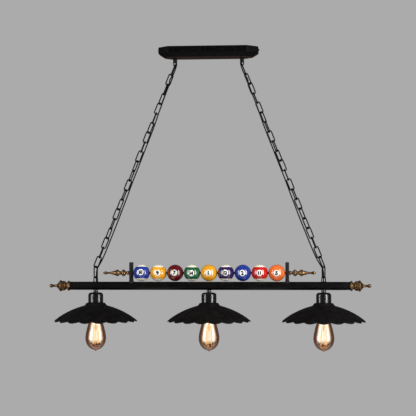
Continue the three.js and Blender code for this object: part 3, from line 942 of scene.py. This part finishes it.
def disc_shape():
    """The pale disc behind a number, with its edge let down to the ball."""
    rings, segments = 5, 48
    points = [on_ball(0, 0, DISC_LIFT)]
    for ring in range(1, rings + 1):
        reach = DISC_R * ring / rings
        lift = DISC_LIFT if ring < rings else 0.0
        for step in range(segments):
            angle = 2 * math.pi * step / segments
            points.append(on_ball(reach * math.cos(angle), reach * math.sin(angle), lift))
    rows = [[0] * segments]
    rows += [list(range(1 + i * segments, 1 + (i + 1) * segments)) for i in range(rings)]
    return points, bands(rows)


def number_shape(text):
    """The number as a flat mesh, cut finely enough to lie on the ball."""
    curve = bpy.data.curves.new("number", "FONT")
    curve.body = str(text)
    curve.align_x = "CENTER"
    curve.align_y = "CENTER"
    curve.size = 16.5 if text < 10 else 14.6
    curve.space_character = 0.84
    curve.offset = 1
    curve.resolution_u = 6
    holder = add_object("number", curve)
    depsgraph = bpy.context.evaluated_depsgraph_get()
    mesh = bpy.data.meshes.new_from_object(holder.evaluated_get(depsgraph))
    bpy.data.objects.remove(holder)
    work = bmesh.new()
    work.from_mesh(mesh)
    spans = [[vert.co[axis] for vert in work.verts] for axis in (0, 1)]
    middle = Vector([*((min(span) + max(span)) / 2 for span in spans), 0])
    for vert in work.verts:
        vert.co -= middle
    for normal in (Vector((1, 0, 0)), Vector((0, 1, 0))):
        for step in range(-7, 8):
            everything = work.verts[:] + work.edges[:] + work.faces[:]
            bmesh.ops.bisect_plane(work, geom=everything, plane_co=normal * step, plane_no=normal)
    bmesh.ops.triangulate(work, faces=work.faces)
    work.verts.index_update()
    points = [(vert.co.x, vert.co.y) for vert in work.verts]
    faces = [[vert.index for vert in face.verts] for face in work.faces]
    work.free()
    return points, faces


def drilled_ball():
    """A ball with the rod's bore through it, along X."""
    edge = math.degrees(math.asin(BORE_R / BALL_R))
    outline = arc(BALL_R, (0, 0), edge - 90, 90 - edge, 40)
    return moved(revolve(outline, 80, ring=True), turn(90, "Y"))


def digits_shape(number, spin):
    """The number laid on the ball's front, turned in its disc."""
    points, faces = number_shape(number)
    spun = [turn(spin, "Z") @ Vector((x, y, 0)) for x, y in points]
    return [on_ball(point.x, point.y, NUMBER_LIFT) for point in spun], faces


# A ball's finishes, in the order of its materials
OWN, CREAM, DISC, INK = range(4)


def ball(index, number, slot, striped, lift, spin):
    """A ball with its number on the front and on the back."""
    name = f"ball_{index + 1}"
    disc = disc_shape()
    digits = digits_shape(number, spin)
    behind = turn(180, "Z")
    parts = [(drilled_ball(), OWN), (disc, DISC), (digits, INK)]
    parts += [(moved(disc, behind), DISC), (moved(digits, behind), INK)]
    mesh = mesh_from(name, joined(*(shape for shape, _ in parts)))
    finishes = [finish for (_, faces), finish in parts for _ in faces]
    mesh.polygons.foreach_set("material_index", finishes)
    if striped:
        cut_stripe(mesh)
    place = Matrix.Translation(centre_mm(name) * MM) @ Matrix.Rotation(math.radians(-lift), 4, "X")
    mesh.transform(place)
    for material in (resins[slot], cream, disc_white, ink):
        mesh.materials.append(material)
    shade(mesh, 40)
    settle(add_object(name, mesh), f"{name}_body", [name])


def cut_stripe(mesh):
    """Splits the ball's own faces at the stripe's edges and gives the caps the cream finish."""
    work = bmesh.new()
    work.from_mesh(mesh)
    edge = BAND * BALL_R * MM
    for side in (-1, 1):
        own = [face for face in work.faces if face.material_index == OWN]
        parts = list({vert for face in own for vert in face.verts})
        parts += list({line for face in own for line in face.edges})
        bmesh.ops.bisect_plane(
            work, geom=parts + own, plane_co=(0, 0, side * edge), plane_no=(0, 0, 1), dist=1e-8
        )
    for face in work.faces:
        if face.material_index == OWN and abs(face.calc_center_median().z) > edge:
            face.material_index = CREAM
    work.to_mesh(mesh)
    work.free()


# Lamps


def lamp_nipple(word, x):
    """A hollow threaded pipe from the tube into the cup, with a rounded collar between them."""
    top, bottom = TUBE_Z - 6, -777
    bore, pipe, collar = 3.2, 5, 7.5
    collar_top, collar_bottom = -761.3, -768.5
    outline = [
        (bore, top), (pipe - 0.4, top), (pipe, top - 0.4), (pipe, collar_top), (collar - 0.9, collar_top),
        (collar - 0.2, collar_top - 0.6), (collar, collar_top - 1.5), (collar, collar_bottom + 1.9),
        (collar - 0.4, collar_bottom + 0.7), (collar - 1.1, collar_bottom), (pipe, collar_bottom),
        (pipe, bottom), (bore, bottom),
    ]
    shape = moved(revolve(outline, 40, ring=True), (x, 0, 0))
    make(f"lamp_nipple_{word}", shape, dark_nickel, "bar")


def socket_cup(word, x):
    """A spun cup with a round shoulder, open below."""
    radius, hole, bend, wall = 23.5, 5.3, 9, 1.2
    centre = (radius - bend, CUP_TOP - bend)
    outline = [(hole, CUP_TOP), *arc(bend, centre, 90, 0, 10)]
    outline += [(radius, CUP_BOTTOM + 3), (radius - 0.2, CUP_BOTTOM + 0.4), (radius - 0.5, CUP_BOTTOM)]
    outline += [(radius - wall, CUP_BOTTOM), *arc(bend - wall, centre, 0, 90, 10), (hole, CUP_TOP - wall)]
    shape = moved(revolve(outline, 72, ring=True), (x, 0, 0))
    make(f"socket_cup_{word}", shape, cup_gloss, "bar", sharp=40)


def lampholder(word, x):
    """The holder's body with a threaded sleeve, open below to the screw socket."""
    radius, socket, pipe_hole = 18.5, 13.7, 5.3
    top, thread_top, bottom = -773, -803, -830
    turns, thread_pitch, thread_depth = 16, 1.5, 0.6
    outline = [(0, top - 5.8), (pipe_hole, top - 5.8), (pipe_hole, top), (radius - 0.7, top)]
    outline += [(radius, top - 0.8), (radius, thread_top)]
    for number in range(turns):
        z = thread_top - number * thread_pitch
        outline += [(radius, z), (radius - thread_depth, z - 0.7), (radius, z - 1.4)]
    outline += [(radius, bottom + 0.6), (radius - 0.5, bottom), (socket + 0.2, bottom)]
    outline += [(socket, bottom + 0.4), (socket, thread_top - 3), (0, thread_top - 3)]
    shape = moved(revolve(outline, 56), (x, 0, 0))
    make(f"lampholder_{word}", shape, black_plastic, "bar")


def shade_ring(word, x):
    """A knurled ring that holds the shade up against the cup."""
    low, high = box_mm(f"shade_ring_{word}")
    bore, rim, ridges, depth = 18.9, 25, 36, 0.5
    outline = [
        (bore, high.z), (rim - 0.4, high.z), (rim, high.z - 0.4), (rim, low.z + 0.5), (rim - 0.5, low.z),
        (bore, low.z),
    ]

    def knurl(radius, height, angle):
        return radius - depth * (0.5 + 0.5 * math.cos(ridges * angle)) if radius > rim - 0.3 else radius

    shape = moved(revolve(outline, 216, knurl, ring=True), (x, 0, 0))
    make(f"shade_ring_{word}", shape, black_plastic, "bar")


SCALLOPS = 18
NOTCHES = {"left": 4, "middle": 3, "right": 10}  # where a crease is, in degrees from the front to +X


def shade_outline(angle):
    """The shade's section at an angle from a crease: down its outside, round its drip edge and back.

    A section point is (radius, height) and the way out of the metal there. The dome is an arc that
    swells between the creases and runs further down there, which scallops the rim.
    """
    petal = abs(math.sin(SCALLOPS * angle / 2))  # 0 at a crease and 1 midway between two
    top_r, top_z, dome, wall, swell = 43, -10.6, 238, 1.2, 2.5
    start = math.radians(17)
    reach = math.radians(38.2 + 2.3 * petal)
    neck = [
        (19.2, 0, 0, 1), (27.4, 0, 0.1, 1), (28.8, -0.4, 0.6, 0.8), (30, -1.6, 0.9, 0.4),
        (31.4, -3.4, 0.95, 0.3), (32.6, -5.4, 0.93, 0.35), (34, -7.2, 0.8, 0.6), (36.4, -8.6, 0.5, 0.87),
        (39.4, -9.6, 0.35, 0.94),
    ]
    steps = 22
    dome_points = []
    for step in range(steps + 1):
        share = step / steps
        slope = start + share * (reach - start)
        out = (math.sin(slope), math.cos(slope))
        ease = min(1, share * 1.15 + 0.06)
        lift = swell * petal * ease * share**0.35
        r = top_r + dome * (out[0] - math.sin(start)) + lift * out[0]
        z = top_z - dome * (math.cos(start) - out[1]) + lift * out[1]
        dome_points.append((r, z, *out))
    r, z, _, _ = dome_points[-1]
    drip_edge = [(r + 0.7, z - 0.8, 0.9, 0.44), (r + 1, z - 1.8, 1, 0.1), (r + 1, z - 3.4, 1, 0)]
    points = neck + dome_points + drip_edge
    outside = [(r, z) for r, z, _, _ in points]
    inside = [(r - wall * a, z - wall * b) for r, z, a, b in points]
    r, z, a, b = points[-1]
    lip = [(r - wall * a * t + b * 0.35, z - wall * b * t - a * 0.35) for t in (0.3, 0.7)]
    return outside + lip + inside[::-1]


def lamp_shade(word, x):
    """A shade of thin metal with a neck, scalloped petals and a turned-down rim."""
    count = SCALLOPS * 12
    around = [2 * math.pi * step / count for step in range(count)]
    turned_by = math.radians(NOTCHES[word] - 90)
    outlines = [shade_outline(angle) for angle in around]
    levels = []
    for level in range(len(outlines[0])):
        row = []
        for angle, outline in zip(around, outlines):
            r, z = outline[level]
            row.append((r * math.cos(angle + turned_by), r * math.sin(angle + turned_by), z + SHADE_TOP))
        levels.append(row)
    shape = moved(loft(levels, around=True), (x, 0, 0))
    make(f"shade_{word}", shape, shade_paint, "bar", sharp=14)


def bulb_glass(word, x):
    """A teardrop bulb of thin glass. Its inner faces carry the glow."""
    thickness, segments = 0.8, 64
    outline = [
        (0, -954), (1.6, -953), (3.4, -950.4), (9, -948.4), (17, -944.3), (24, -937.6), (29, -928.6),
        (31.8, -919), (32.4, -911), (31.2, -899), (28, -884), (23.6, -868), (18.6, -852.6), (14.6, -841),
        (12.4, -835.6), (11.8, -832), (11.8, -828.5),
    ]
    outer = turned_curve(outline, 4)
    inner = [(r - thickness, z + 0.3) for r, z in outer if r > 2.6][::-1]
    shape = moved(revolve(outer + inner + [(0, -946.8)], segments), (x, 0, 0))
    piece = make(f"bulb_glass_{word}", shape, glass, f"{word}_bulb")
    piece.data.materials.append(inner_glow(f"inner_glow_{word}", x))
    inside = (len(outer) - 1) * segments
    for face in piece.data.polygons:
        face.material_index = int(face.index >= inside)


def bulb_cap(word, x):
    """A brass screw cap with a rolled thread and a contact."""
    root, crest = 12.5, 13.2
    thread_top, turns, thread_pitch = -813, 6, 2.9
    outline = [(0, -807), (4.4, -807), (5, -807.6), (6, -809.6), (11.6, -811.4), (12.6, -812.6)]
    for number in range(turns):
        z = thread_top - number * thread_pitch
        outline += [(root, z), (crest, z - 1.2), (root, z - 2.4)]
    outline += [(12.6, -832.8), (12.9, -833.4), (12.3, -833.4), (12.2, -828.3), (0, -828.3)]
    shape = moved(revolve(outline, 48), (x, 0, 0))
    make(f"bulb_cap_{word}", shape, cap_brass, f"{word}_bulb")


def bulb_filament(word, x):
    """A glass stem with a cage of long hairpins hung from it."""
    outline = [
        (0, -829), (8.8, -829), (9, -832), (6, -842), (3.4, -854), (2.6, -868), (2.6, -884), (1.6, -889),
        (0, -890),
    ]
    stem = revolve(turned_curve(outline, 3), 32)
    count = 7
    hairpins = [hairpin(2 * math.pi * i / count, math.pi / count) for i in range(count)]
    shape = moved(joined(stem, *hairpins), (x, 0, 0))
    make(f"bulb_filament_{word}", shape, filament_glow, f"{word}_bulb")


def hairpin(start, width):
    """Down from the upper supports, round the lower hook and up again."""
    def at(angle, radius, z):
        return (radius * math.cos(angle), radius * math.sin(angle), z)

    leg = [(6, -872), (8.4, -890), (9.8, -910), (9, -925)]
    hook = at(start + width / 2, 8.4, -929)
    down = [at(start, *place) for place in leg]
    up = [at(start + width, *place) for place in reversed(leg)]
    return sweep(through([*down, hook, *up], 5), 0.45, 6)


def lamps():
    builders = (
        lamp_nipple, socket_cup, lampholder, shade_ring, lamp_shade, bulb_glass, bulb_cap, bulb_filament
    )
    for word, x in (("left", -LAMP_X), ("middle", 0), ("right", LAMP_X)):
        for build in builders:
            build(word, x)


# Studio


def camera():
    """In front of the lamp, a little to its right and below its middle. Lengths are in metres."""
    distance = 4.2
    width = 1.3045  # what the picture spans at the lamp
    height = -0.605
    azimuth = math.radians(4.5)
    roll = math.radians(0.1)
    aim = Vector((-0.0025, 0, -0.504))
    data = bpy.data.cameras.new("camera")
    data.sensor_width = 36
    data.lens = data.sensor_width * distance / width
    data.clip_end = 50
    made = add_object("camera", data)
    made.location = (aim.x + distance * math.sin(azimuth), -distance * math.cos(azimuth), height)
    facing = (aim - made.location).to_track_quat("-Z", "Y").to_matrix()
    made.rotation_euler = (facing @ Matrix.Rotation(-roll, 3, "Z")).to_euler()
    bpy.context.scene.camera = made


def softbox(name, azimuth, elevation, distance, size, power, mirrored=True):
    """An area light, in metres and watts, that faces the lamp. Azimuth 0 is the front, and 90 is at +X."""
    centre = Vector((0, 0, -0.6))
    a, e = math.radians(azimuth), math.radians(elevation)
    out = Vector((math.sin(a) * math.cos(e), -math.cos(a) * math.cos(e), math.sin(e)))
    data = bpy.data.lights.new(name, "AREA")
    data.shape = "RECTANGLE"
    data.size, data.size_y = size
    data.energy = power
    made = add_object(name, data)
    made.visible_glossy = mirrored
    made.location = centre + out * distance
    made.rotation_euler = (-out).to_track_quat("-Z", "Y").to_euler()


def studio():
    """Two narrow boxes that show as highlights, and three broad ones that only light the lamp."""
    softbox("left_box", -60, 6, 1.6, (0.3, 1.6), 16)
    softbox("right_box", 56, 6, 1.4, (0.34, 1.6), 22)
    softbox("front_box", 8, 35, 3.4, (2.4, 1.6), 60, mirrored=False)
    softbox("top_box", 10, 75, 2.6, (2.4, 1.6), 30, mirrored=False)
    softbox("back_box", 180, 20, 3.0, (2.0, 1.0), 20, mirrored=False)
    floor()
    backdrop_light()


def floor():
    """A plain pale disc on the ground, below the picture. It is clear from underneath."""
    radius, z, segments = 1500, -1500, 64
    edge = arc(radius, (0, 0), 0, 360, segments)[:-1]
    mesh = mesh_from("floor", ([(x, y, z) for x, y in edge], [list(range(segments))]))
    made = add_object("floor", mesh)
    material, tree = new_material("floor")
    colour = ramp(tree, noise(tree, 6, 4), (0.3, 0.52), (0.7, 0.56))
    pale = node(tree, "BsdfPrincipled", Base_Color=colour, Roughness=0.8)
    from_below = node(tree, "NewGeometry").outputs["Backfacing"]
    clear = node(tree, "BsdfTransparent")
    surface = node(tree, "MixShader", i0=from_below, i1=pale.outputs[0], i2=clear.outputs[0])
    finish_material(tree, surface.outputs[0])
    mesh.materials.append(material)


def backdrop_light():
    """An even grey surround, the same from every side."""
    world = bpy.data.worlds.new("studio")
    world.use_nodes = True
    tree = world.node_tree
    tree.nodes.clear()
    seen = node(tree, "LightPath").outputs["Is Camera Ray"]
    level = node(tree, "MapRange", Value=seen, To_Min=SURROUND, To_Max=BACKGROUND)
    background = node(tree, "Background", Color=level.outputs[0])
    node(tree, "OutputWorld", Surface=background.outputs[0])
    bpy.context.scene.world = world
    bpy.context.scene.view_settings.view_transform = "Standard"


camera()
studio()
canopy()
dress_hidden_canopy_parts()
for word, side in SIDES.items():
    canopy_loop(word, side)
    canopy_screw(word, side)
    chain(word, side)
    cord_pieces(word, side)
    end_finial(word, side)
    bar_loop(word, side)
    rack_post(word, side)
    rack_finial(word, side)
main_tube()
wire_harness()
ball_rod()
for index, facts in enumerate(BALLS):
    ball(index, *facts)
lamps()
